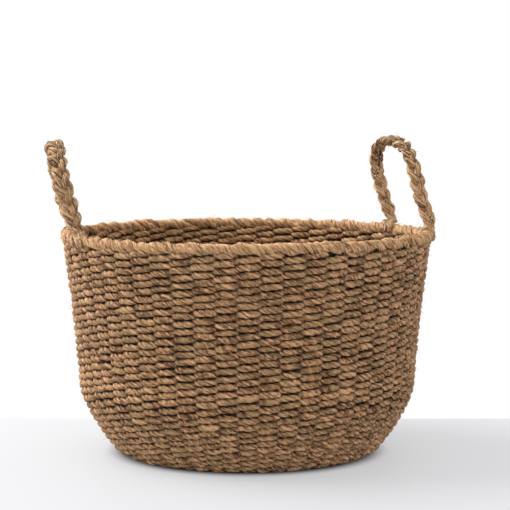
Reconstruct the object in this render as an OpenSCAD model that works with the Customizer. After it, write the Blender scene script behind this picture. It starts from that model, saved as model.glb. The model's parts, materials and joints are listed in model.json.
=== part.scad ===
// Round storage basket, woven from twisted seagrass rope on upright stakes, with two plaited loop handles.
// Millimetres, +Z up. The origin is the middle of the base's underside and -Y is the front.
// The handles stand at -X and +X, each a little toward the back.
// The stakes follow one line from base to rim: flat base, corner, curved shoulder, crease, flared wall.
// Each course is a pair of ropes woven in opposite step, so that at every stake one rope of the pair lies
// outside and the other inside: the pair is kept as an outer and an inner ring.

/* [Body] */
// Outer diameter of the rim border
rim_d = 400; // [360:1:440]
// Height from the floor to the top of the rim border
body_h = 240; // [215:1:265]
// Radius of the stake line where the base turns up into the shoulder
corner_r = 12; // [11:1:14]
// Angle that the corner turns through, in degrees
corner_angle = 47; // [44:0.5:50]
// Radius of the stake line along the shoulder
shoulder_r = 170; // [150:5:190]
// Angle that the shoulder turns through, in degrees
shoulder_angle = 22.5; // [20:0.5:25]
// Radius of the stake line at the crease between shoulder and wall
crease_r = 30; // [24:1:40]
// Angle that the crease turns through, in degrees
crease_angle = 16.5; // [15:0.5:17]
// Radius of the wall's outward flare
flare_r = 2000; // [1600:50:2600]

/* [Weave] */
// Number of stakes round the wall, half of them added part way out along the base
stake_count = 54; // [48:2:60]
// Stake diameter
stake_d = 2.6; // [2:0.1:3]
// Thickness of a rope across the wall, squeezed flat against the stakes
rope_t = 4.5; // [4:0.1:5]
// Courses up the wall, from the corner to the border
wall_courses = 31; // [31:1:31]
// Courses round the base, from the centre to the corner
base_courses = 12; // [12:1:12]
// Radius of each of the three border strands
border_strand_r = 3.2; // [2.8:0.1:3.5]

/* [Handles] */
// Distance between the two legs of a handle
leg_spacing = 120; // [110:1:130]
// Height of the middle of the left handle's rope above the rim, with the handle upright
rise_left = 92; // [80:1:100]
// The same for the right handle
rise_right = 97; // [80:1:100]
// Radius of a handle's upper corners
shoulder_arc_r = 36; // [30:1:42]
// Angle that each upper corner turns through, in degrees
shoulder_arc_angle = 75; // [70:1:80]
// Angle by which the left handle stands toward the back of the basket, in degrees
turn_left = 6; // [0:0.5:12]
// The same for the right handle
turn_right = 2; // [0:0.5:12]
// Distance of a handle's feet outward of the border's middle line
foot_out = 3; // [0:1:5]
// Outward lean of the left handle, in degrees
lean_left = 12; // [0:1:15]
// Outward lean of the right handle, in degrees; a negative value leans inward
lean_right = -13; // [-20:1:0]
// Radius of one strand of the plait
strand_r = 2.3; // [2:0.1:2.3]
// Full turns of the plait from foot to foot
plait_turns = 6; // [4:1:7]
// Radius of the strand tails that pass over the border
tail_r = 2.3; // [2:0.1:2.3]
// Length of a tail below the middle of the border
tail_len = 14; // [10:1:18]

/* [Hidden] */
// Clearance between woven pieces that touch in life
gap = 0.1;
// Clearance between neighbouring courses, which keeps them apart in the sharp corner as well
course_gap = 0.35;
// Clearance between the border and the tails that cross it
tail_gap = 0.35;
// Where the main and the added stakes start, measured from the middle of the base
main_stake_start = 14;
added_stake_start = 70;
// Balls that join the stretches of a stake, and how far each stretch stops short inside them
joint_d = stake_d + 0.16;
joint_inset = 0.1;
// Swing of a strand within the plait, across its width and through its depth
plait_w = 5.2;
plait_d = 3.2;
// How far the strand ends reach below the hinge axis, and the clearance under them
strand_drop = 2.3;
hinge_gap = 0.35;
// Rings and sides of each swept strand
strand_rings = 84;
strand_sides = 8;

wall_t = 2 * rope_t + stake_d + 2 * gap;
rope_offset = (stake_d + rope_t) / 2 + gap;
base_z = wall_t / 2;

// The three border strands lie in a triangle round the border's middle
border_ring = (2 * border_strand_r + gap) / sqrt(3);
border_r = border_ring + border_strand_r;
border_drop = border_ring / 2 + border_strand_r + gap;

// Step along an arc of the stake line as [outward, upward], from one heading to another
function arc_step(bend_r, from, to) = bend_r * [sin(to) - sin(from), cos(from) - cos(to)];

// Headings of the stake line, measured from straight outward
crease_heading = corner_angle + shoulder_angle;
wall_heading = crease_heading + crease_angle;

// Steps outward and upward over each stretch of the stake line
corner_step = arc_step(corner_r, 0, corner_angle);
shoulder_step = arc_step(shoulder_r, corner_angle, crease_heading);
crease_step = arc_step(crease_r, crease_heading, wall_heading);
wall_rise = body_h - border_r - base_z - corner_step.y - shoulder_step.y - crease_step.y;
rim_heading = acos(cos(wall_heading) + wall_rise / flare_r);
wall_step = [flare_r * (sin(wall_heading) - sin(rim_heading)), wall_rise];
base_flat_r = rim_d / 2 - border_r - corner_step.x - shoulder_step.x - crease_step.x - wall_step.x;

// Where each stretch starts, as [radius, height]
corner_start = [base_flat_r, base_z];
shoulder_start = corner_start + corner_step;
crease_start = shoulder_start + shoulder_step;
wall_start = crease_start + crease_step;
border_middle = wall_start + wall_step;

// Lengths along the stake line
corner_len = corner_r * corner_angle * PI / 180;
shoulder_len = shoulder_r * shoulder_angle * PI / 180;
crease_len = crease_r * crease_angle * PI / 180;
wall_len = flare_r * (wall_heading - rim_heading) * PI / 180;
woven_len = corner_len + shoulder_len + crease_len + wall_len - border_drop;
course_pitch = woven_len / wall_courses;
centre_r = base_flat_r - base_courses * course_pitch;

// Feet of the handles, and the height of their hinge axes
foot_angle = asin(leg_spacing / 2 / border_middle.x);
foot_x = border_middle.x * cos(foot_angle) + foot_out;
tail_ring = border_r + tail_gap + tail_r;
strand_reach = norm([plait_w * sin(120), plait_d * sin(240), strand_drop]) + strand_r;
axis_z = border_middle.y + tail_ring + tail_r + hinge_gap + strand_reach;

// The line of a handle: leg, upper corner, shallow top arc, and the same back down
top_turn = 90 - shoulder_arc_angle;
top_half = leg_spacing / 2 - shoulder_arc_r * (1 - cos(shoulder_arc_angle));
top_r = top_half / sin(top_turn);
arch_h = shoulder_arc_r * sin(shoulder_arc_angle) + top_r * (1 - cos(top_turn));
upper_corner_len = shoulder_arc_r * shoulder_arc_angle * PI / 180;
top_len = top_r * 2 * top_turn * PI / 180;
arch_len = 2 * upper_corner_len + top_len;

SIDES = ["left", "right"];
ENDS = ["front", "back"];

function two_digits(k) = str(k < 10 ? "0" : "", k);

// A point on an arc of the stake line as [radius, height, heading], at a length s past the arc's start
function arc_point(start, bend_r, heading, s) =
    let (
        end_heading = heading + s / bend_r * 180 / PI,
        p = start + arc_step(bend_r, heading, end_heading)
    )
    [p.x, p.y, end_heading];

// A point on the stake line as [radius, height, heading], at a length s past the start of the corner
function stake_line(s) =
    s <= 0
        ? [corner_start.x + s, corner_start.y, 0]
    : s <= corner_len
        ? arc_point(corner_start, corner_r, 0, s)
    : s <= corner_len + shoulder_len
        ? arc_point(shoulder_start, shoulder_r, corner_angle, s - corner_len)
    : s <= corner_len + shoulder_len + crease_len
        ? arc_point(crease_start, crease_r, crease_heading, s - corner_len - shoulder_len)
    : arc_point(wall_start, -flare_r, wall_heading, s - corner_len - shoulder_len - crease_len);

// A point beside the stake line as [radius, height], an offset inward from it
function beside(s, offset) =
    let (p = stake_line(s))
    [p.x, p.y] + offset * [-sin(p[2]), cos(p[2])];

// Section of one rope, long side along X
module rope_section(h, t) {
    square([h - t, t], center = true);
    for (end = [-1, 1])
        translate([end * (h - t) / 2, 0])
            circle(d = t, $fn = 32);
}

// A pair of rope rings round the stakes, one inside and one outside, between two points of the stake line
module course(from, to) {
    middle = (from + to) / 2;
    for (face = [-1, 1]) {
        reach = norm(beside(to, face * rope_offset) - beside(from, face * rope_offset));
        rotate_extrude($fn = 180)
            translate(beside(middle, face * rope_offset))
                rotate(stake_line(middle)[2])
                    rope_section(reach - course_gap, rope_t);
    }
}

module base_centre() {
    color("#b98d5c")
        for (z = [0, wall_t - rope_t])
            translate([0, 0, z])
                cylinder(r = centre_r - gap, h = rope_t, $fn = 96);
}

module base_course(k) {
    color(k % 2 == 0 ? "#b58a58" : "#a67c4c")
        course((k - 1 - base_courses) * course_pitch, (k - base_courses) * course_pitch);
}

module wall_course(k) {
    color(k % 2 == 0 ? "#b98d5c" : "#a87e4e")
        course((k - 1) * course_pitch, k * course_pitch);
}

// A round rod bent round an arc in the XZ plane, a hair short of each end, where a joint ball takes over
module bent_rod(middle, bend_r, from_angle, to_angle, fineness) {
    inset = joint_inset / bend_r * 180 / PI;
    translate([middle.x, 0, middle.y])
        rotate([90, 0, 0])
            rotate([0, 0, from_angle + inset])
                rotate_extrude(angle = to_angle - from_angle - 2 * inset, $fn = fineness)
                    translate([bend_r, 0])
                        circle(d = stake_d, $fn = 24);
}

// A straight rod outward through the base, between two radii, a hair short of its outer end
module straight_rod(from_r, to_r) {
    translate([from_r, 0, base_z])
        rotate([0, 90, 0])
            cylinder(d = stake_d, h = to_r - from_r - joint_inset, $fn = 24);
}

// One stake, from a starting radius on the base to just under the border, with a ball at each change of bend
module stake(start_r) {
    end_trim = border_drop / flare_r * 180 / PI;
    corner_middle = corner_start + [0, corner_r];
    shoulder_middle = shoulder_start + shoulder_r * [-sin(corner_angle), cos(corner_angle)];
    crease_middle = crease_start + crease_r * [-sin(crease_heading), cos(crease_heading)];
    flare_middle = wall_start + flare_r * [sin(wall_heading), -cos(wall_heading)];
    union() {
        straight_rod(start_r, base_flat_r);
        bent_rod(corner_middle, corner_r, -90, corner_angle - 90, 96);
        bent_rod(shoulder_middle, shoulder_r, corner_angle - 90, crease_heading - 90, 240);
        bent_rod(crease_middle, crease_r, crease_heading - 90, wall_heading - 90, 180);
        bent_rod(flare_middle, flare_r, rim_heading + 90 + end_trim, wall_heading + 90, 720);
        for (joint = [corner_start, shoulder_start, crease_start, wall_start])
            translate([joint.x, 0, joint.y])
                sphere(d = joint_d, $fn = 24);
    }
}

module stakes(first, start_r) {
    for (k = [first : 2 : stake_count - 1])
        rotate([0, 0, (k + 0.5) * 360 / stake_count])
            stake(start_r);
}

module main_stakes() {
    color("#8d6a43")
        stakes(0, main_stake_start);
}

module added_stakes() {
    color("#9a764b")
        stakes(1, added_stake_start);
}

// One of the three border strands, at an angle round the border's middle
module rim_strand(angle) {
    rotate_extrude($fn = 180)
        translate(border_middle + border_ring * [cos(angle), sin(angle)])
            circle(r = border_strand_r, $fn = 32);
}

module rim_strand_outer() {
    color("#b07f4e")
        rim_strand(rim_heading - 120);
}

module rim_strand_inner() {
    color("#8f6c49")
        rim_strand(rim_heading + 120);
}

module rim_strand_top() {
    color("#a57b4f")
        rim_strand(rim_heading);
}

// Angle by which a handle stands toward the back
function turn_of(side) = side == "left" ? turn_left : turn_right;

// A strand tail: over the border, and down both faces of the wall
module tail() {
    rotate([90, 0, 0])
        rotate_extrude(angle = 180, $fn = 64)
            translate([tail_ring, 0])
                circle(r = tail_r, $fn = 32);
    for (face = [-1, 1])
        translate([face * tail_ring, 0, -tail_len]) {
            cylinder(r = tail_r, h = tail_len, $fn = 32);
            sphere(r = tail_r, $fn = 32);
        }
}

// The three tails at one foot of a handle
module tails(side, end) {
    mirror([side == "left" ? 1 : 0, 0, 0])
        rotate([0, 0, turn_of(side) + (end == "front" ? -foot_angle : foot_angle)])
            for (k = [-1, 0, 1])
                translate([border_middle.x, k * 2 * (tail_r + gap), border_middle.y])
                    rotate([0, 90 - rim_heading, 0])
                        tail();
}

// Length of a handle's leg, from its foot to the upper corner
function legs_of(side) =
    body_h + (side == "left" ? rise_left : rise_right) - axis_z - arch_h + strand_drop;

// A point on the line of a handle, as [across, up, heading], at a length s from its foot
function loop_line(s, leg_len) =
    s > leg_len + arch_len / 2
        ? let (p = loop_line(2 * leg_len + arch_len - s, leg_len)) [-p.x, p.y, 360 - p[2]]
    : s <= leg_len
        ? [-leg_spacing / 2, s, 90]
    : s <= leg_len + upper_corner_len
        ? let (a = (s - leg_len) / shoulder_arc_r * 180 / PI)
          [shoulder_arc_r * (1 - cos(a)) - leg_spacing / 2, leg_len + shoulder_arc_r * sin(a), 90 - a]
    : let (a = top_turn - (s - leg_len - upper_corner_len) / top_r * 180 / PI)
      [-top_r * sin(a), leg_len + arch_h - top_r * (1 - cos(a)), a];

// A point on one strand: the plait lies like a strap, its width across the loop's plane
function strand_point(s, phase, leg_len) =
    let (
        p = loop_line(s, leg_len),
        turn = s / (2 * leg_len + arch_len) * 360 * plait_turns + phase,
        depth_step = plait_d * sin(2 * turn)
    )
    [plait_w * sin(turn), p.x - depth_step * sin(p[2]), p.y + depth_step * cos(p[2])];

function unit(v) = v / norm(v);

// One ring of points round a strand, square to its path
function strand_ring(s, phase, leg_len) =
    let (
        small = 0.01,
        loop_len = 2 * leg_len + arch_len,
        before = strand_point(max(s - small, 0), phase, leg_len),
        after = strand_point(min(s + small, loop_len), phase, leg_len),
        ahead = unit(after - before),
        out = unit(cross(ahead, cross([1, 0, 0], ahead))),
        over = cross(ahead, out),
        middle = strand_point(s, phase, leg_len)
    )
    [for (k = [0 : strand_sides - 1])
        let (a = k * 360 / strand_sides)
        middle + strand_r * (cos(a) * out + sin(a) * over)];

// One strand of the plait, as a tube closed at both ends
module strand(phase, leg_len) {
    ring_step = (2 * leg_len + arch_len) / strand_rings;
    points = [for (k = [0 : strand_rings]) each strand_ring(k * ring_step, phase, leg_len)];
    sides = [for (k = [0 : strand_rings - 1]) for (j = [0 : strand_sides - 1])
        let (a = k * strand_sides + j, b = k * strand_sides + (j + 1) % strand_sides)
        each [[a, b, b + strand_sides], [a, b + strand_sides, a + strand_sides]]];
    first_cap = [for (j = [strand_sides - 1 : -1 : 0]) j];
    last_cap = [for (j = [0 : strand_sides - 1]) strand_rings * strand_sides + j];
    polyhedron(points, concat(sides, [first_cap, last_cap]));
}

// One strand of a handle, leaning outward about the line through the handle's feet
module handle_strand(side, k) {
    lean = side == "left" ? lean_left : lean_right;
    color(k == 1 ? "#b98e60" : k == 2 ? "#a97e50" : "#c09868")
        mirror([side == "left" ? 1 : 0, 0, 0])
            rotate([0, 0, turn_of(side)])
                translate([foot_x, 0, axis_z])
                    rotate([0, lean, 0])
                        translate([0, 0, -strand_drop])
                            strand((k - 1) * 120, legs_of(side));
}

base_centre();
for (k = [1 : base_courses])
    base_course(k);
for (k = [1 : wall_courses])
    wall_course(k);
main_stakes();
added_stakes();
rim_strand_outer();
rim_strand_inner();
rim_strand_top();
for (side = SIDES) for (end = ENDS)
    color("#ad8354") tails(side, end);
for (side = SIDES) for (k = [1 : 3])
    handle_strand(side, k);
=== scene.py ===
"""Seagrass storage basket: woven ropes, a laid border and plaited handles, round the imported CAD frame.

Every rope is a swept tube. A tube keeps, at each point, where that point lies in the untwisted rope,
so that the material's fibres run along the rope's own twist. Lengths are in metres, or millimetres * MM.
"""
import json
import math

import bpy
import numpy as np
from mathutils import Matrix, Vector


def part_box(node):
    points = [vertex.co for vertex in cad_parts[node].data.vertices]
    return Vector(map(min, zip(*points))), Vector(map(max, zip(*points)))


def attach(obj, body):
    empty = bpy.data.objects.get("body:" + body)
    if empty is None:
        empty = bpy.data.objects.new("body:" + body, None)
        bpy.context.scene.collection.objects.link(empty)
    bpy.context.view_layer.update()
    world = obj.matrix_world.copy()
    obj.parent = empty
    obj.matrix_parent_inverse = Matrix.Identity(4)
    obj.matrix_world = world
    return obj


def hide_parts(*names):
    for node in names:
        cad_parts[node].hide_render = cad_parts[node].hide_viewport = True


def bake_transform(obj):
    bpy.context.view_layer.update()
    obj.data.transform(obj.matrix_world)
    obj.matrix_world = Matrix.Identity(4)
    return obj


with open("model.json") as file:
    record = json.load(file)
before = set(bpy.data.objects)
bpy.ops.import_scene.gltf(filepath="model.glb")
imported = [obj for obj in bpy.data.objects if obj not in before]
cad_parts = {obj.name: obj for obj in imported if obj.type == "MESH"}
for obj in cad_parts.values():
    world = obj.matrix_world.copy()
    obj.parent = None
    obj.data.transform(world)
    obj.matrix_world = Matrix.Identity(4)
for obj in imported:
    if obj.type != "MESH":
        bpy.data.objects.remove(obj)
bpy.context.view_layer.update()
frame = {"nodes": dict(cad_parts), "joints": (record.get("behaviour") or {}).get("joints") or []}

MM = 0.001
TAU = 2 * math.pi
UP = np.array([0, 0, 1.0])

# ---------------------------------------------------------------- the frame's joints and nodes
JOINTS = {joint["name"]: joint for joint in frame["joints"]}
WALL_NODES = sorted(name for name in frame["nodes"] if name.startswith("wall_course"))
BASE_NODES = sorted(name for name in frame["nodes"] if name.startswith("base_course"))
RIM_NODES = ["rim_strand_outer", "rim_strand_inner", "rim_strand_top"]

# ---------------------------------------------------------------- the stake line, as part.scad has it
WALL_T = 11.8 * MM                                # over both ropes of a course and the stake between them
BORDER_MIDDLE = np.array([193.05, 233.05]) * MM   # as radius and height
BENDS = np.array([12, 170, 30, 2000]) * MM        # corner, shoulder, crease and flare
HEADINGS = np.radians([0, 47, 69.5, 86])          # where each of them starts
LINE_START = -130 * MM                            # where the line's table starts, in the base
LINE_STEPS = 3000

# ---------------------------------------------------------------- the weave
STAKES = 54                           # round the wall
INNER_STAKES = 26                     # that the inner courses of the base are woven on
MAIN_START_R = 14 * MM                # where half of the stakes start
ADDED_START_R = 70 * MM               # where the others do
STAKE_R = 1.3 * MM
STAKE_SIDES = 8
STAKE_RINGS = 60
ROPE_SWING = 3.3 * MM                 # how far a rope lies from the stake line as it passes a stake
SWING_SHARPNESS = 1.15                # how quickly it changes sides
ROPE_FRONT = (2.7 * MM, 3.35 * MM)    # half thickness and half height where a rope passes a stake
ROPE_CROSS = (4.3 * MM, 3.4 * MM)     # the same where it changes sides between two stakes
ROPE_SLANT = 0.45 * MM                # each stretch over a stake runs up to the right by twice this
ROPE_GRAIN = 0.045                    # height of the ridges along a rope, as a share of its radius
SQUEEZE = 0.75                        # how much taller a rope is on its side toward the stakes, as a share
PLIES = 3
PLY_PITCH = 27 * MM                   # one turn of a ply round its rope
PLY_DEPTH = 0.42                      # of the valleys between plies, as a share of the radius
RINGS_PER_STAKE = 15
ROPE_SIDES = 21
FIBRE_R = 3.5 * MM                    # radius of the untwisted rope that the fibre coordinates lie on
WALL_HAIRS = 56                       # loose fibres a rope row; the base has none
BORDER_OVERHANG = 4.2 * MM            # how far the border hangs down past the line's end, to the last course

# ---------------------------------------------------------------- the border and the handles' tails
BORDER_R = 3.6 * MM                   # one strand of the border
BORDER_RING = 2.9 * MM                # its distance from the border's middle
BORDER_TURNS = 27                     # that each strand makes round the border's middle
BORDER_RINGS = STAKES * 14
BORDER_BLADES = 12
BORDER_PITCH = 34 * MM                # one turn of a blade round its strand
BORDER_HAIRS = 160                    # a strand
TAIL_HALF = 2.7 * MM
TAIL_SPACING = 5.4 * MM               # between the three tails at a foot
TAIL_RINGS = 60

# ---------------------------------------------------------------- the handles, as part.scad has them
LEG_SPACING = 120 * MM
UPPER_CORNER_R = 36 * MM
UPPER_CORNER_ANGLE = math.radians(75)
RISES = {"left": 92 * MM, "right": 97 * MM}       # middle of the rope above the rim, with the handle upright
LEANS = {"left": math.radians(12), "right": math.radians(-13)}
PLAIT_TURNS = 6
RIM_TOP = BORDER_MIDDLE[1] + 6.95 * MM
FOOT_ANGLE = math.asin(LEG_SPACING / 2 / BORDER_MIDDLE[0])
TOP_TURN = math.pi / 2 - UPPER_CORNER_ANGLE
TOP_HALF = LEG_SPACING / 2 - UPPER_CORNER_R * (1 - math.cos(UPPER_CORNER_ANGLE))
TOP_R = TOP_HALF / math.sin(TOP_TURN)
ARCH_H = UPPER_CORNER_R * math.sin(UPPER_CORNER_ANGLE) + TOP_R * (1 - math.cos(TOP_TURN))

# ---------------------------------------------------------------- the handles' own looks
STRAND_HALF = (3.2 * MM, 4.2 * MM)                # through the plait's depth, and across it
PLAIT_W = 4.9 * MM                                # how far a strand swings across the plait
PLAIT_D = 2.7 * MM                                # and through its depth
STOUTNESS = {"left": 1.1, "right": 0.92}
BOWS = {"left": 4.5 * MM, "right": -5.5 * MM}     # how far a loop's sides bow outward, between foot and top
LEG_PAINTED_LIGHT = {"left": 1.9, "right": 3.1}           # painted light: how much paler the legs are painted than the grip
PLAIT_DROP = 15 * MM                              # of the plait into the border, below the hinge
PINCH_LENGTH = 20 * MM                            # over which it narrows there
PLAIT_RINGS = 230
PLAIT_BLADES = 10
BLADE_PITCH = 36 * MM
PLAIT_HAIRS = 90                                  # a strand

# ---------------------------------------------------------------- blades and loose fibres
BLADE_SIDES = 8
BLADE_REACH = 0.62                    # from a strand's middle, as a share of its radius
BLADE_WIDTH = 2.9                     # half widths of all blades together, in radii
BLADE_THICK = 0.34                    # half thickness of a blade, in radii
HAIR_RINGS = 5
HAIR_SIDES = 3
HAIR_FLOOR = 1 * MM                   # a loose fibre that would come lower is left out

# ---------------------------------------------------------------- camera and table
VIEW_TURN = math.radians(14)          # the camera stands this far round from -Y towards -X
CAMERA_FAR = 1.94
CAMERA_UP = 0.376
CAMERA_ASIDE = 8.603 * MM             # right of the line through the basket's middle
CAMERA_PITCH = math.radians(4.85)
CAMERA_LENS = 127.3                   # for a sensor 36 wide
VIEW_DIR = np.array([math.sin(VIEW_TURN), math.cos(VIEW_TURN), 0])
RIGHT_DIR = np.array([math.cos(VIEW_TURN), -math.sin(VIEW_TURN), 0])
TABLE_BACK = 0.185                    # the table's back edge, behind the basket's middle
TABLE_FRONT = -2.6
TABLE_HALF = 2.4

rng = np.random.default_rng(655)

# the hand-made body's unevenness: lobes round it, size, phase and drift of the phase with height
HARMONICS = [(k, rng.normal(), rng.uniform(0, TAU), rng.uniform(-1, 1)) for k in (2, 3, 4, 5, 7)]


# ---------------------------------------------------------------- small helpers
def smooth(edge0, edge1, x):
    """Smooth step from 0 at edge0 to 1 at edge1."""
    t = np.clip((x - edge0) / (edge1 - edge0), 0, 1)
    return t * t * (3 - 2 * t)


def wander(t, waves, lowest=1):
    """A smooth random curve of about unit size, that closes on itself as t goes from 0 to 1."""
    total = np.zeros_like(t)
    for k in range(lowest, lowest + waves):
        total += rng.normal() * np.cos(TAU * k * t + rng.uniform(0, TAU))
    return total / math.sqrt(waves / 2)


def unit(v):
    return v / np.linalg.norm(v, axis=-1, keepdims=True)


def polar(angle, radial, upward=0):
    """Vectors round the basket's axis, from their radial and upward parts."""
    return np.stack([radial * np.cos(angle), radial * np.sin(angle), upward + 0 * angle], axis=-1)


def whole_pitch(length, pitch):
    """The pitch nearest to this one that goes a whole number of times into a closed rope's length."""
    return length / max(1, round(length / pitch))


def line_length(middle):
    return float(np.sum(np.linalg.norm(np.diff(middle, axis=0), axis=1)))


def stake_line():
    """The lengths and headings at the line's bends, and a table of length, radius and height.

    Length 0 is where the corner starts.
    """
    starts, ends = HEADINGS, np.append(HEADINGS[1:], 0)
    rises = BENDS[:3] * (np.cos(starts[:3]) - np.cos(ends[:3]))
    wall_rise = BORDER_MIDDLE[1] - WALL_T / 2 - rises.sum()
    ends[3] = math.acos(math.cos(HEADINGS[3]) + wall_rise / BENDS[3])
    lengths = BENDS * np.abs(ends - starts)
    at = np.concatenate([[-1.0, 0], np.cumsum(lengths)])
    headings = np.concatenate([[0, 0], ends])
    s = np.linspace(LINE_START, at[-1], LINE_STEPS)
    heading = np.interp(s, at, headings)
    ds = s[1] - s[0]
    r = np.concatenate([[0], np.cumsum(np.cos((heading[1:] + heading[:-1]) / 2)) * ds])
    z = np.concatenate([[0], np.cumsum(np.sin((heading[1:] + heading[:-1]) / 2)) * ds])
    return at, headings, s, r - r[-1] + BORDER_MIDDLE[0], z - z[-1] + BORDER_MIDDLE[1]


BEND_S, BEND_HEADING, LINE_S, LINE_R, LINE_Z = stake_line()
PITCH = (LINE_S[-1] - BORDER_OVERHANG) / len(WALL_NODES)     # of the courses


def line_at(s):
    """Radius, height and heading on the stake line at a length s past the start of the corner."""
    return np.interp(s, LINE_S, LINE_R), np.interp(s, LINE_S, LINE_Z), np.interp(s, BEND_S, BEND_HEADING)


def body_lumps(angle, z):
    """The hand-made body's slight unevenness: radial, under 2 mm, none at the base."""
    total = 0 * angle
    for k, size, phase, drift in HARMONICS:
        total = total + size / k * np.cos(k * angle + phase + 3 * drift * z / 0.24)
    return 0.9 * MM * total * smooth(0.01, 0.12, z)


# ---------------------------------------------------------------- mesh building
class Parts:
    """Collects tubes into one mesh, with the attributes that the materials read."""

    def __init__(self):
        self.points, self.quads, self.caps = [], [], []
        self.fibre, self.tone, self.hue, self.painted_shade_factor = [], [], [], []
        self.count = 0

    def add(self, rings, fibre, tone, hue, painted_shade_factor, closed):
        """Add a tube of R rings with S points each. closed joins the last ring to the first.

        rings and fibre are (R, S, 3); tone, hue and the factor for the painted shade are (R, S), or fit it.
        """
        r, s = rings.shape[:2]
        index = np.arange(r * s).reshape(r, s) + self.count
        nxt = np.roll(index, -1, axis=0) if closed else index[1:]
        cur = index if closed else index[:-1]
        corners = [cur, np.roll(cur, -1, axis=1), np.roll(nxt, -1, axis=1), nxt]
        self.quads.append(np.stack(corners, axis=-1).reshape(-1, 4))
        if not closed:
            self.caps += [index[0][::-1], index[-1]]
        self.points.append(rings.reshape(-1, 3))
        self.fibre.append(fibre.reshape(-1, 3))
        for store, values in ((self.tone, tone), (self.hue, hue), (self.painted_shade_factor, painted_shade_factor)):
            store.append(np.broadcast_to(values, (r, s)).reshape(-1))
        self.count += r * s

    def mesh(self, name):
        points = np.concatenate(self.points)
        points[:, 2] = np.maximum(points[:, 2], 0)      # flat underneath, where the basket stands
        quads = np.concatenate(self.quads)
        loops = np.concatenate([quads.reshape(-1)] + self.caps).astype(np.int32)
        sizes = np.concatenate([np.full(len(quads), 4), [len(c) for c in self.caps]]).astype(np.int32)
        starts = np.concatenate([[0], np.cumsum(sizes)[:-1]]).astype(np.int32)
        mesh = bpy.data.meshes.new(name)
        mesh.vertices.add(len(points))
        mesh.vertices.foreach_set("co", points.astype(np.float32).reshape(-1))
        mesh.loops.add(len(loops))
        mesh.loops.foreach_set("vertex_index", loops)
        mesh.polygons.add(len(sizes))
        mesh.polygons.foreach_set("loop_start", starts)
        mesh.update(calc_edges=True)
        mesh.polygons.foreach_set("use_smooth", np.ones(len(sizes), bool))
        fibre = mesh.attributes.new("fibre", "FLOAT_VECTOR", "POINT")
        fibre.data.foreach_set("vector", np.concatenate(self.fibre).astype(np.float32).reshape(-1))
        for key, store in (("tone", self.tone), ("hue", self.hue), ("painted_shade_factor", self.painted_shade_factor)):
            attribute = mesh.attributes.new(key, "FLOAT", "POINT")
            attribute.data.foreach_set("value", np.concatenate(store).astype(np.float32))
        return mesh

    def piece(self, name, material, body, slot, replaces):
        """The finished object, attached to body unless body is None."""
        mesh = self.mesh(name)
        mesh.materials.append(material)
        obj = bpy.data.objects.new(name, mesh)
        bpy.context.scene.collection.objects.link(obj)
        if body:
            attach(obj, body)
        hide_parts(*replaces)
        return obj


def fibre_shift():
    """A random place in the materials' noise, so that no two ropes look alike."""
    return rng.uniform(-5, 5, 3)


def swept(middle, x_dir, y_dir, x, y):
    """Rings of points round a line of middles. x and y are (R, S), along x_dir and y_dir, each (R, 3)."""
    return middle[:, None, :] + x[..., None] * x_dir[:, None, :] + y[..., None] * y_dir[:, None, :]


def tube(middle, side, up, half_side, half_up, along, plies, pitch, depth, sides, shift, grain=0.0):
    """A twisted rope round a line of middles, half_side and half_up thick along side and up.

    Gives its rings, fibre coordinates, how far each point is to the side, its ply and the ply's ridge.
    """
    around = np.arange(sides) / sides * TAU
    turned = around[None, :] + along[:, None] * TAU / pitch
    ridge = np.abs(np.cos(plies * turned / 2)) ** 0.7
    shape = 1 - np.reshape(depth, (-1, 1)) * (1 - ridge)
    if grain:
        t = np.linspace(0, 1, len(middle), endpoint=False)
        for lobes in (5, 8):
            shape = shape + grain * np.cos(lobes * turned + (2.5 * wander(t, 60, 20))[:, None])
    x = half_side[:, None] * np.cos(around)[None, :] * shape
    y = half_up[:, None] * np.sin(around)[None, :] * shape
    rings = swept(middle, side, up, x, y)
    fibre = np.stack([FIBRE_R * np.cos(turned), FIBRE_R * np.sin(turned),
                      np.broadcast_to(along[:, None], turned.shape)], axis=-1)
    ply = np.floor(turned / TAU * plies + 0.5).astype(int) % plies
    return rings, fibre + shift, x, ply, ridge


def bundle(parts, middle, side, up, half_side, half_up, along, blades, pitch, tone, hue, painted_shade_factor, closed=False):
    """A strand made of several flat blades laid side by side round a core, each with its own brown."""
    count = len(middle)
    t = np.linspace(0, 1, count, endpoint=not closed)
    around = np.arange(BLADE_SIDES) / BLADE_SIDES * TAU
    radius = (half_side + half_up) / 2
    for b in range(blades):
        turn = TAU * b / blades + along * TAU / pitch + 0.25 * wander(t, 6)
        reach = BLADE_REACH + 0.08 * wander(t, 12, 3)
        width = BLADE_WIDTH / blades * (1 + 0.12 * wander(t, 12, 3))
        cos, sin = np.cos(turn), np.sin(turn)
        place = middle + (reach * half_side * cos)[:, None] * side + (reach * half_up * sin)[:, None] * up
        radial = cos[:, None] * side + sin[:, None] * up
        level = cos[:, None] * up - sin[:, None] * side
        thick = BLADE_THICK * radius * (1 + 0.1 * wander(t, 6) + 0.06 * rng.normal(0, 1, count))
        x = np.cos(around)[None, :] * thick[:, None]
        y = np.sin(around)[None, :] * (width * radius)[:, None]
        rings = swept(place, radial, level, x, y)
        fibre = np.stack([x, y, np.broadcast_to(along[:, None], x.shape)], axis=-1) + fibre_shift()
        own_tone = tone + 1.2 * rng.normal() + 0.6 * wander(t, 30, 4)
        own_hue = hue + 0.6 * rng.normal()
        # painted shade: each blade is darker on its side that faces into the strand
        painted_shade = painted_shade_factor[:, None] * (0.72 + 0.28 * np.clip(np.cos(around), 0, 1))[None, :]
        parts.add(rings, fibre, own_tone[:, None], own_hue[:, None], painted_shade, closed=closed)


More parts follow.
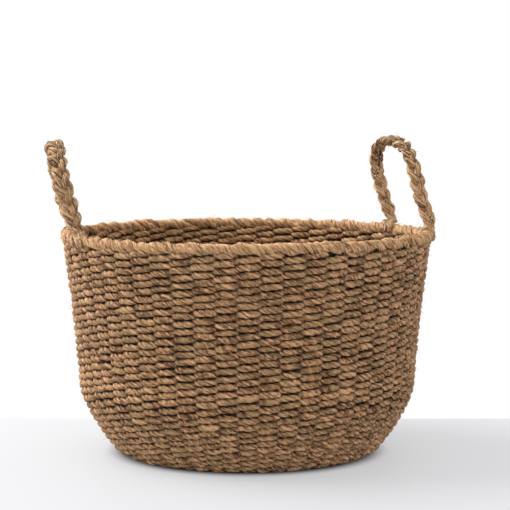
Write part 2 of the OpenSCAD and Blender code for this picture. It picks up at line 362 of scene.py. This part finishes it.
def add_hair(parts, root, direction, length, radius, lift, tone):
    """A loose fibre: a thin curved blade that leaves the rope along it and bends away."""
    t = np.linspace(0, 1, HAIR_RINGS)
    side = unit(np.cross(direction, lift))
    sway = rng.normal(0, 0.25)
    line = root + length * (t[:, None] * direction + (t ** 2)[:, None] * (0.5 * lift + sway * side))
    if line[:, 2].min() < HAIR_FLOOR:
        return
    tangent = unit(np.gradient(line, axis=0))
    a = unit(np.cross(tangent, side + 0.01))
    b = np.cross(tangent, a)
    around = np.arange(HAIR_SIDES) / HAIR_SIDES * TAU
    width = (radius * (1 - 0.8 * t))[:, None]
    rings = swept(line, a, b, width * np.cos(around), width * np.sin(around))
    fibre = np.broadcast_to((line * 0.3)[:, None, :], rings.shape)
    parts.add(rings, fibre, tone, 0.2, 1.0, closed=False)


# ---------------------------------------------------------------- woven rope rows
def rope_halves(at_stake):
    """Half thickness and half height of a rope, at_stake being 1 on a stake and 0 between two."""
    return [cross + (front - cross) * at_stake for front, cross in zip(ROPE_FRONT, ROPE_CROSS)]


def ply_values(t, waves, own, along_it):
    """A random value for each ply, and how it wanders along the rope, as (R, PLIES)."""
    return np.stack([own * rng.normal() + along_it * wander(t, waves, waves // 2) for _ in range(PLIES)],
                    axis=-1)


def woven_row(parts, s, parity, stakes):
    """One rope ring at a length s up the stake line, passing stakes alternately outside and inside."""
    count = stakes * RINGS_PER_STAKE
    t = np.arange(count) / count
    angle = t * TAU
    place = angle / (TAU / stakes)
    phase = math.pi * (place - 0.5) + math.pi * parity
    swing = np.tanh(SWING_SHARPNESS * np.cos(phase)) / math.tanh(SWING_SHARPNESS)
    at_stake = np.abs(np.cos(phase)) ** 0.8
    segment = np.floor(place).astype(int) % stakes
    beside_stake = place - np.floor(place) - 0.5
    lump, tilt, drop = rng.normal(0, 1, (3, stakes))

    s_here = s + 0.25 * MM * wander(t, 9) + at_stake * 0.3 * MM * drop[segment] + ROPE_SLANT * np.sin(phase)
    s_here = s_here + at_stake * beside_stake * 1.0 * MM * tilt[segment]
    r, z, heading = line_at(s_here)
    outward = polar(angle, np.sin(heading), -np.cos(heading))
    upward = polar(angle, np.cos(heading), np.sin(heading))
    size = 1 + 0.05 * wander(t, 14) + 0.06 * at_stake * lump[segment] + 0.035 * rng.normal(0, 1, count)
    half_out, half_up = (half * size for half in rope_halves(at_stake))
    offset = ROPE_SWING * swing * (1 + 0.06 * wander(t, 20))
    middle = polar(angle, r, z) + offset[:, None] * outward
    middle = middle + body_lumps(angle, z)[:, None] * polar(angle, 1)

    length = line_length(middle)
    along = t * length + 0.09 * PLY_PITCH * wander(t, 5)
    depth = PLY_DEPTH * (0.3 + 0.7 * at_stake)
    rings, fibre, x, ply, ridge = tube(
        middle, outward, upward, half_out, half_up, along, PLIES, whole_pitch(length, PLY_PITCH), depth,
        ROPE_SIDES, fibre_shift(), ROPE_GRAIN)
    # the side that faces the stakes is squeezed flat and tall, which closes the gaps between the rows
    rise = np.einsum("rsk,rk->rs", rings - middle[:, None, :], upward)
    squeezed = smooth(0.1, 0.6, -np.sign(offset)[:, None] * x / half_out[:, None]) * at_stake[:, None]
    rings = rings + (SQUEEZE * squeezed * rise)[..., None] * upward[:, None, :]
    # painted shade: the colour is darker deeper in the wall, in the valleys between plies and on the squeezed
    # side between the rows
    painted_shade = np.abs(offset[:, None] + x) / (WALL_T / 2) * (0.40 + 0.60 * ridge) * (1 - 0.95 * squeezed)

    waves = max(4, int(length / (40 * MM)))
    ply_tone = ply_values(t, waves, 0.7, 0.6)
    ply_hue = ply_values(t, waves, 0.4, 0.5)
    rows = np.arange(count)[:, None]
    tone = 0.3 * rng.normal() + 0.2 * (lump[segment] * at_stake)[:, None] + ply_tone[rows, ply]
    hue = 0.4 * rng.normal() + ply_hue[rows, ply]
    parts.add(rings, fibre, tone, hue, painted_shade, closed=True)
    return middle, outward, upward, offset


def add_row_hairs(parts, middle, outward, upward, offset, count):
    """Loose fibres on the faces of a rope row that show."""
    for i in rng.integers(0, len(middle), count):
        face = 1.0 if offset[i] > 0 else -1.0
        along = unit(middle[(i + 1) % len(middle)] - middle[i]) * rng.choice([-1, 1])
        root = middle[i] + face * outward[i] * ROPE_FRONT[0] * 0.9 + upward[i] * rng.uniform(-2, 2) * MM
        lift = face * outward[i] * rng.uniform(0.1, 0.9) + upward[i] * rng.normal(0, 0.5)
        length, radius = rng.uniform(3, 11) * MM, rng.uniform(0.12, 0.24) * MM
        add_hair(parts, root, along, length, radius, lift, rng.normal(0.6, 0.5))


def course(name, s, stakes, hairs):
    """The two ropes of a course round a length s up the stake line."""
    parts = Parts()
    for parity in (0, 1):
        row = woven_row(parts, s + (parity - 0.5) * PITCH / 2, parity, stakes)
        add_row_hairs(parts, *row, hairs)
    return parts.piece(name + "_rope", ROPE, "basket", "rope", [name])


# ---------------------------------------------------------------- materials
ROUGHNESS = 0.78


def node(tree, kind, x, y, **values):
    """A shader node at x, y. Each value is an input's, or else the node's own."""
    n = tree.nodes.new(kind)
    n.location = (x, y)
    for key, value in values.items():
        if key in n.inputs:
            n.inputs[key].default_value = value
        else:
            setattr(n, key, value)
    return n


def seagrass(name, dark, mid, light, straw):
    """Dry twisted seagrass: fibres along the rope, blades of different browns, and painted shade in the gaps.
    """
    material = bpy.data.materials.new(name)
    material.use_nodes = True
    tree = material.node_tree
    tree.nodes.clear()
    link = tree.links.new
    out = node(tree, "ShaderNodeOutputMaterial", 1400, 0)
    shader = node(tree, "ShaderNodeBsdfPrincipled", 1100, 0, **{"Specular IOR Level": 0.32})
    link(shader.outputs["BSDF"], out.inputs["Surface"])
    fibre, tone, hue, painted_shade_factor = (node(tree, "ShaderNodeAttribute", -1400, y, attribute_name=key)
                               for key, y in (("fibre", 0), ("tone", -300), ("hue", -500), ("painted_shade_factor", -700)))

    def fibre_noise(across, along, y, detail, rough=0.5):
        """Noise in the untwisted rope, with so many features to a metre across the rope and along it."""
        mapping = node(tree, "ShaderNodeMapping", -1150, y, Scale=(across, across, along))
        link(fibre.outputs["Vector"], mapping.inputs["Vector"])
        noise = node(tree, "ShaderNodeTexNoise", -950, y, Scale=1.0, Detail=detail, Roughness=rough)
        link(mapping.outputs["Vector"], noise.inputs["Vector"])
        return noise.outputs["Fac"]

    def math_node(operation, a, b, x, y, c=None, clamp=False):
        n = node(tree, "ShaderNodeMath", x, y, operation=operation, use_clamp=clamp)
        for socket, value in zip(n.inputs, (a, b)):
            if isinstance(value, bpy.types.NodeSocket):
                link(value, socket)
            else:
                socket.default_value = value
        if c is not None:
            n.inputs[2].default_value = c
        return n.outputs[0]

    blades = fibre_noise(520, 40, 200, 2.0)          # about 2 mm wide and some centimetres long
    fine = fibre_noise(1300, 60, -50, 3.0, 0.6)      # single fibres
    fleck = fibre_noise(650, 260, -250, 1.0)         # short breaks in the fibres
    blotch = fibre_noise(120, 60, 450, 2.0)          # along the rope

    shade = math_node("MULTIPLY_ADD", blades, 1.25, -700, 200, -0.14)
    shade = math_node("ADD", shade, math_node("MULTIPLY", tone.outputs["Fac"], 0.10, -700, -300), -500, 150)
    spread = math_node("SUBTRACT", fine, 0.5, -700, -50)
    shade = math_node("ADD", shade, math_node("MULTIPLY", spread, 0.55, -500, -50), -300, 150)
    broken = math_node("SUBTRACT", fleck, 0.5, -700, -200)
    shade = math_node("ADD", shade, math_node("MULTIPLY", broken, 1.6, -500, -200), -200, 150)

    ramp = node(tree, "ShaderNodeValToRGB", -100, 200)
    stops = ramp.color_ramp.elements
    for stop, position, colour in ((stops[0], 0.22, dark), (stops[1], 0.80, light)):
        stop.position = position
        stop.color = (*colour, 1)
    stops.new(0.48).color = (*mid, 1)
    link(shade, ramp.inputs["Fac"])

    straw_mix = node(tree, "ShaderNodeMix", 200, 200, data_type="RGBA")
    straw_mix.inputs["B"].default_value = (*straw, 1)
    warm = math_node("MULTIPLY_ADD", hue.outputs["Fac"], 0.16, -300, -400, -0.62)
    blotches = math_node("MULTIPLY", blotch, 1.7, -300, -550)
    warm = math_node("ADD", warm, blotches, -100, -400, clamp=True)
    link(warm, straw_mix.inputs["Factor"])
    link(ramp.outputs["Color"], straw_mix.inputs["A"])

    # painted shade: the colour is darkened where the rope dives between its neighbours, where shade falls
    painted_shade_ramp = node(tree, "ShaderNodeMapRange", 200, -300, interpolation_type="SMOOTHSTEP",
               **{"From Min": 0.08, "From Max": 0.78, "To Min": 0.10, "To Max": 1.0})
    link(painted_shade_factor.outputs["Fac"], painted_shade_ramp.inputs["Value"])
    dim = node(tree, "ShaderNodeMix", 450, 100, data_type="RGBA", blend_type="MULTIPLY")
    dim.inputs["Factor"].default_value = 1.0
    link(straw_mix.outputs["Result"], dim.inputs["A"])
    link(painted_shade_ramp.outputs["Result"], dim.inputs["B"])
    link(dim.outputs["Result"], shader.inputs["Base Color"])

    height = math_node("ADD", math_node("MULTIPLY", blades, 1.0, 450, -500),
                       math_node("MULTIPLY", fine, 0.45, 450, -650), 650, -500)
    height = math_node("ADD", height, math_node("MULTIPLY", fleck, 0.4, 450, -800), 750, -600)
    bump = node(tree, "ShaderNodeBump", 850, -400, Strength=0.9, Distance=0.0014)
    link(height, bump.inputs["Height"])
    link(bump.outputs["Normal"], shader.inputs["Normal"])
    rough = math_node("MULTIPLY_ADD", fine, 0.3, 650, -150, ROUGHNESS - 0.15)
    link(rough, shader.inputs["Roughness"])
    return material


# each with its dark, middle, light and straw colours
ROPE = seagrass("seagrass_rope",
                (0.075, 0.032, 0.014), (0.40, 0.188, 0.084), (0.74, 0.435, 0.23), (0.40, 0.265, 0.12))
BORDER = seagrass("seagrass_border",
                  (0.13, 0.06, 0.026), (0.52, 0.265, 0.125), (0.85, 0.545, 0.312), (0.53, 0.355, 0.17))
PLAIT = seagrass("seagrass_plait",
                 (0.06, 0.028, 0.014), (0.34, 0.175, 0.088), (0.76, 0.48, 0.285), (0.42, 0.29, 0.14))
STEM = seagrass("seagrass_stem",
                (0.06, 0.03, 0.015), (0.17, 0.095, 0.05), (0.30, 0.18, 0.10), (0.2, 0.14, 0.07))


# ---------------------------------------------------------------- body
def build_body():
    for k, name in enumerate(WALL_NODES):
        course(name, (k + 0.5) * PITCH, STAKES, WALL_HAIRS)
    for k, name in enumerate(BASE_NODES):
        s = (k + 0.5 - len(BASE_NODES)) * PITCH
        course(name, s, INNER_STAKES if line_at(s)[0] < ADDED_START_R else STAKES, 0)


def build_centre():
    """The woven start of the base: small rope rings, flat, from the middle out to the first course."""
    parts = Parts()
    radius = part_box("base_centre")[1][0]
    rows = int(radius / (PITCH / 2))
    for k in range(rows):
        r = (k + 0.5) * radius / rows
        length = TAU * r
        count = max(24, int(length / (1.6 * MM)))
        t = np.arange(count) / count
        angle = t * TAU
        stakes = max(6, 2 * int(round(length / (16 * MM))))
        swing = np.cos(stakes / 2 * angle + math.pi * k)
        outward, upward = polar(angle, 0, -1), polar(angle, 1)
        offset = ROPE_SWING * swing
        middle = r * upward + WALL_T / 2 * UP + offset[:, None] * outward
        half_out, half_up = rope_halves(np.abs(swing) ** 1.5)
        rings, fibre, x, ply, ridge = tube(
            middle, outward, upward, half_out, half_up, t * length, PLIES, whole_pitch(length, PLY_PITCH),
            PLY_DEPTH, ROPE_SIDES, fibre_shift())
        # painted shade: darker deeper between the ropes and in the valleys between plies
        painted_shade = np.abs(offset[:, None] + x) / (WALL_T / 2) * (0.65 + 0.35 * ridge)
        tone = 0.5 * rng.normal() + rng.normal(0, 0.8, PLIES)[ply]
        parts.add(rings, fibre, tone, 0.4 * rng.normal(), painted_shade, closed=True)
    parts.piece("base_centre_rope", ROPE, "basket", "rope", ["base_centre"])


def build_stakes():
    """Thin stems between the ropes, from the base up into the border."""
    for name, first, start_r in (("main_stakes", 0, MAIN_START_R), ("added_stakes", 1, ADDED_START_R)):
        parts = Parts()
        s = np.linspace(start_r - line_at(0)[0], LINE_S[-1] - 4 * MM, STAKE_RINGS)
        r, z, _ = line_at(s)
        half = np.full(STAKE_RINGS, STAKE_R)
        for k in range(first, STAKES, 2):
            angle = np.full(STAKE_RINGS, (k + 0.5) * TAU / STAKES)
            middle = polar(angle, r, z) + body_lumps(angle, z)[:, None] * polar(angle, 1)
            across = np.stack([-np.sin(angle), np.cos(angle), 0 * angle], axis=-1)
            outward = np.cross(unit(np.gradient(middle, axis=0)), across)
            rings, fibre, *_ = tube(middle, across, outward, half, half, s, 1, 1.0, 0.0, STAKE_SIDES,
                                    fibre_shift())         # one smooth ply, so its pitch is of no account
            # painted shade: the stems are darkened all along, as they lie deep between the ropes
            parts.add(rings, fibre, 0.0, 0.0, 0.35, closed=False)
        parts.piece(name + "_stems", STEM, "basket", "stakes", [name])


# ---------------------------------------------------------------- border
def build_border():
    """Three strands laid round one another along the rim, three bumps to two stakes."""
    r0, z0 = BORDER_MIDDLE
    heading = line_at(LINE_S[-1])[2]
    t = np.arange(BORDER_RINGS) / BORDER_RINGS
    angle = t * TAU
    outward = polar(angle, np.sin(heading), -np.cos(heading))
    upward = polar(angle, np.cos(heading), np.sin(heading))
    for k, name in enumerate(RIM_NODES):
        parts = Parts()
        turn = -angle * BORDER_TURNS + TAU * k / 3 + 0.3 * wander(t, 24)
        lump = 1 + 0.06 * wander(t, 40, 6) + 0.06 * wander(t, 60, 60)
        ring = BORDER_RING * (1 + 0.10 * wander(t, 20))
        middle = polar(angle, r0, z0) + body_lumps(angle, z0 + 0 * angle)[:, None] * polar(angle, 1)
        middle = middle + (ring * np.cos(turn))[:, None] * outward + (ring * np.sin(turn))[:, None] * upward
        middle = middle + (0.5 * MM * wander(t, 9) + 0.35 * MM * wander(t, 60, 30))[:, None] * upward
        length = line_length(middle)
        tangent = unit(np.roll(middle, -1, axis=0) - np.roll(middle, 1, axis=0))
        side = unit(np.cos(turn)[:, None] * outward + np.sin(turn)[:, None] * upward)
        up = np.cross(tangent, side)
        tone = 0.7 + 0.3 * rng.normal() + 0.5 * wander(t, 50)
        hue = 0.3 * rng.normal() + 0.5 * wander(t, 30)
        bundle(parts, middle, side, up, BORDER_R * 0.95 * lump, BORDER_R * lump, t * length, BORDER_BLADES,
               whole_pitch(length, BORDER_PITCH), tone, hue, np.ones(BORDER_RINGS), closed=True)
        for i in rng.integers(0, BORDER_RINGS, BORDER_HAIRS):
            along = tangent[i] * rng.choice([-1, 1])
            lift = side[i] * rng.uniform(0.2, 1.0)
            length, radius = rng.uniform(5, 14) * MM, rng.uniform(0.12, 0.25) * MM
            add_hair(parts, middle[i] + side[i] * BORDER_R * 0.9, along, length, radius, lift,
                     rng.normal(0.4, 0.5))
        parts.piece(name + "_strand", BORDER, "basket", "border", [name])


# ---------------------------------------------------------------- handles
def loop_line(s, leg_len):
    """Across, up and heading on a handle's line, at lengths s from its first foot, and its whole length."""
    corner_len = UPPER_CORNER_R * UPPER_CORNER_ANGLE
    top_len = TOP_R * 2 * TOP_TURN
    total = 2 * (leg_len + corner_len) + top_len
    mirrored = s > total / 2
    q = np.where(mirrored, total - s, s)
    a1 = np.clip((q - leg_len) / UPPER_CORNER_R, 0, UPPER_CORNER_ANGLE)
    a2 = TOP_TURN - np.clip((q - leg_len - corner_len) / TOP_R, 0, 2 * TOP_TURN)
    on_leg, on_corner = q <= leg_len, q <= leg_len + corner_len
    across = np.where(on_leg, -LEG_SPACING / 2, np.where(
        on_corner, UPPER_CORNER_R * (1 - np.cos(a1)) - LEG_SPACING / 2, -TOP_R * np.sin(a2)))
    up = np.where(on_leg, q, np.where(
        on_corner, leg_len + UPPER_CORNER_R * np.sin(a1), leg_len + ARCH_H - TOP_R * (1 - np.cos(a2))))
    heading = np.where(on_leg, math.pi / 2, np.where(on_corner, math.pi / 2 - a1, a2))
    return np.where(mirrored, -across, across), up, np.where(mirrored, -heading, heading), total


def handle_strand(side, k):
    """One strand of a handle's plait, from foot to foot."""
    foot = np.array(JOINTS[side + "_handle_flex"]["pos_m"])
    radial = unit(foot * [1, 1, 0])
    out = math.cos(LEANS[side]) * radial - math.sin(LEANS[side]) * UP
    rise = math.sin(LEANS[side]) * radial + math.cos(LEANS[side]) * UP
    forward = np.cross(UP, radial) * (-1 if side == "left" else 1)

    leg_len = RIM_TOP + RISES[side] - foot[2] - ARCH_H + PLAIT_DROP
    total = loop_line(np.zeros(1), leg_len)[3]
    t = np.linspace(0, 1, PLAIT_RINGS)
    s = t * total
    from_foot = np.minimum(s, total - s)
    across, up, heading, _ = loop_line(s, leg_len)
    turn = TAU * PLAIT_TURNS * t + TAU * (k - 1) / 3 + 0.12 * wander(t, 8)
    stout = STOUTNESS[side]
    pinch = smooth(0, PINCH_LENGTH, from_foot)
    width = stout * PLAIT_W * np.sin(turn) * (1 + 0.06 * wander(t, 10)) * (0.35 + 0.65 * pinch)
    width = width + BOWS[side] * np.sin(0.8 * math.pi * np.clip(up / (leg_len + ARCH_H), 0, 1))
    depth = stout * PLAIT_D * np.sin(2 * turn)
    y = across - depth * np.sin(heading)
    z = up + depth * np.cos(heading) - PLAIT_DROP
    middle = foot + width[:, None] * out + y[:, None] * forward + z[:, None] * rise
    tangent = unit(np.gradient(middle, axis=0))
    flat = unit(np.cross(tangent, out))
    wide = np.cross(flat, tangent)

    lump = (1 + 0.06 * wander(t, 18, 3)) * stout
    along = t * total * 1.15                   # a strand is longer than the plait
    # painted shade: darker where a strand passes between the others, midway through the plait
    painted_shade = np.clip(0.72 + 0.28 * np.abs(np.sin(2 * turn)), 0, 1)
    painted_light_on_legs = 1 - smooth(0.7, 1.5, from_foot / leg_len)       # painted light: the legs are painted paler than the grip
    tone = 0.3 * rng.normal() + 0.5 * wander(t, 16) - 0.4 + LEG_PAINTED_LIGHT[side] * painted_light_on_legs
    hue = 0.3 * rng.normal() + 0.5 * wander(t, 12)
    parts = Parts()
    bundle(parts, middle, flat, wide, STRAND_HALF[0] * lump, STRAND_HALF[1] * lump, along, PLAIT_BLADES,
           BLADE_PITCH, tone, hue, painted_shade)
    for i in rng.integers(8, PLAIT_RINGS - 8, PLAIT_HAIRS):
        face = unit(flat[i] * rng.normal() + wide[i] * rng.normal())
        hair_along = tangent[i] * rng.choice([-1, 1])
        length, radius = rng.uniform(4, 12) * MM, rng.uniform(0.12, 0.25) * MM
        add_hair(parts, middle[i] + face * STRAND_HALF[0] * 0.9, hair_along, length, radius,
                 face * rng.uniform(0.2, 1.0), rng.normal(0.5, 0.5))
    name = f"handle_{side}_strand_{k}"
    piece = parts.piece(name + "_plait", PLAIT, None, "plait", [name])
    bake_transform(piece)


def foot_tails(side, end):
    """The strands' tails at one foot: over the border, slanting as its own strands do, and tucked under."""
    foot = JOINTS[side + "_handle_flex"]["pos_m"]
    r0, z0 = BORDER_MIDDLE
    foot_angle = math.atan2(foot[1], foot[0])
    foot_angle += FOOT_ANGLE if (side == "left") == (end == "front") else -FOOT_ANGLE
    heading = line_at(LINE_S[-1])[2]
    parts = Parts()
    t = np.linspace(0, 1, TAIL_RINGS)
    a = np.radians(-62 + 304 * t)              # round the border's middle: up its outside and over the top
    ring = BORDER_RING + BORDER_R + 1.4 * MM   # closer in at both ends, where a tail is tucked under
    ring = ring - 3.2 * MM * smooth(0.15, 1.05, np.abs(a - math.pi / 2) - math.pi / 2)
    n, u = ring * np.cos(a), ring * np.sin(a)
    rad = r0 + n * math.sin(heading) + u * math.cos(heading)
    zz = z0 - n * math.cos(heading) + u * math.sin(heading)
    for k in (-1, 0, 1):
        slant = (12 + 3 * k) * MM * np.cos(a) * np.abs(np.cos(a)) ** 0.5
        spread = foot_angle + (k * TAIL_SPACING + slant) / r0 + 0.004 * wander(t, 3)
        middle = polar(spread, rad, zz)
        tangent = unit(np.gradient(middle, axis=0))
        across = np.stack([-np.sin(spread), np.cos(spread), 0 * spread], axis=-1)
        outward = unit(np.cross(tangent, across))
        across = np.cross(outward, tangent)
        half = TAIL_HALF * (1 + 0.08 * wander(t, 5))
        bundle(parts, middle, outward, across, half * 0.75, half * 1.15, t * 55 * MM, 5, 60 * MM,
               0.3 * rng.normal() + 0 * t, 0.4 * rng.normal() + 0 * t, np.full(TAIL_RINGS, 0.95))
    name = f"handle_{side}_tails_{end}"
    parts.piece(name + "_strands", PLAIT, "basket", "plait", [name])


# ---------------------------------------------------------------- stage, light and camera
def table_material(colour, glow, painted_shadow_r, glow_r):
    """A pale table that glows, as painted light, except right under the basket, where the glow fades into a
    painted shadow.
    """
    material = bpy.data.materials.new("pale_table")
    material.use_nodes = True
    tree = material.node_tree
    shader = tree.nodes["Principled BSDF"]
    shader.inputs["Base Color"].default_value = (*colour, 1)
    shader.inputs["Roughness"].default_value = 0.6
    shader.inputs["Specular IOR Level"].default_value = 0.1
    shader.inputs["Emission Color"].default_value = (*glow, 1)
    # painted shadow: the glow fades out towards the basket's middle
    place = node(tree, "ShaderNodeNewGeometry", -700, -300)
    far = node(tree, "ShaderNodeVectorMath", -500, -300, operation="LENGTH")
    fade = node(tree, "ShaderNodeMapRange", -250, -300, interpolation_type="SMOOTHSTEP",
                **{"From Min": painted_shadow_r, "From Max": glow_r})
    tree.links.new(place.outputs["Position"], far.inputs[0])
    tree.links.new(far.outputs["Value"], fade.inputs["Value"])
    tree.links.new(fade.outputs["Result"], shader.inputs["Emission Strength"])
    return material


def build_stage():
    corners = [VIEW_DIR * depth + RIGHT_DIR * aside for depth, aside in (
        (TABLE_BACK, -TABLE_HALF), (TABLE_BACK, TABLE_HALF),
        (TABLE_FRONT, TABLE_HALF), (TABLE_FRONT, -TABLE_HALF))]
    mesh = bpy.data.meshes.new("table")
    mesh.from_pydata([tuple(c) for c in corners], [], [(0, 3, 2, 1)])
    mesh.materials.append(table_material((0.26, 0.26, 0.265), (0.445, 0.447, 0.46), 128 * MM, 156 * MM))
    table = bpy.data.objects.new("table", mesh)
    bpy.context.scene.collection.objects.link(table)


def placed(name, data, place, aim):
    """A light or camera at place, looking along aim."""
    obj = bpy.data.objects.new(name, data)
    bpy.context.scene.collection.objects.link(obj)
    obj.location = place
    obj.rotation_euler = Vector(aim).to_track_quat("-Z", "Y").to_euler()
    return obj


def build_light():
    """A white studio, and one large soft light from the upper left, behind the basket."""
    scene = bpy.context.scene
    scene.view_settings.view_transform = "Standard"
    scene.view_settings.look = "None"
    world = bpy.data.worlds.new("studio")
    world.use_nodes = True
    world.node_tree.nodes["Background"].inputs["Color"].default_value = (1, 1, 1, 1)
    world.node_tree.nodes["Background"].inputs["Strength"].default_value = 1.0
    scene.world = world
    light = bpy.data.lights.new("key", "AREA")
    light.shape = "DISK"
    light.size = 2.0
    light.energy = 58
    place = VIEW_DIR * 0.3 - RIGHT_DIR * 1.4 + UP * 1.7
    placed("key", light, place, UP * 0.12 - place)


def build_camera():
    data = bpy.data.cameras.new("camera")
    data.lens = CAMERA_LENS
    data.sensor_width = 36
    place = -VIEW_DIR * CAMERA_FAR + RIGHT_DIR * CAMERA_ASIDE + UP * CAMERA_UP
    aim = VIEW_DIR * math.cos(CAMERA_PITCH) - UP * math.sin(CAMERA_PITCH)
    bpy.context.scene.camera = placed("camera", data, place, aim)


build_camera()
build_light()
build_stage()
build_body()
build_centre()
build_stakes()
build_border()
for side in ("left", "right"):
    for k in (1, 2, 3):
        handle_strand(side, k)
    for end in ("front", "back"):
        foot_tails(side, end)
